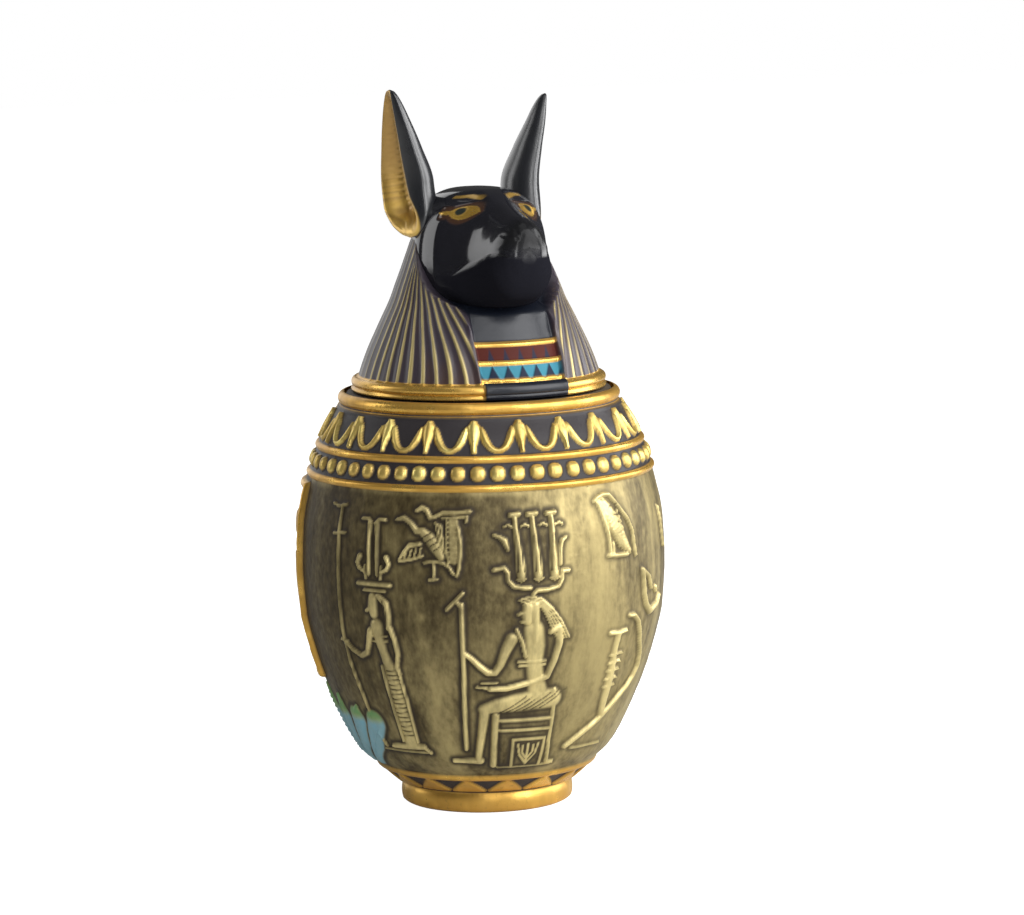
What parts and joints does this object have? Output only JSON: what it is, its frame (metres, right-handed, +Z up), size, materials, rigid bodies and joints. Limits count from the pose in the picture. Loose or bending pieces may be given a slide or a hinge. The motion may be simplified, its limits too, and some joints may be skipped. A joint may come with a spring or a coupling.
{
  "type": "canopic jar",
  "caption": "Hollow cast-resin canopic jar with raised figures and a lift-off jackal-head lid, for display or keeping small things",
  "frame": {"origin": "the middle of the jar's flat underside", "axes": "+Z up through the lid, -Y the way the jackal faces, +X to the jackal's left"},
  "size_m": [0.1353, 0.1356, 0.2624],
  "materials": {
    "jar_body": "cast resin painted antique gold over dark brown, worn back on the raised figures",
    "jackal_head_lid": "cast resin painted gloss black, with gold, red-brown and turquoise details"
  },
  "bodies": {
    "root": {"jar_body": "jar_body", "jackal_head_lid": "jackal_head_lid"}
  },
  "joints": []
}
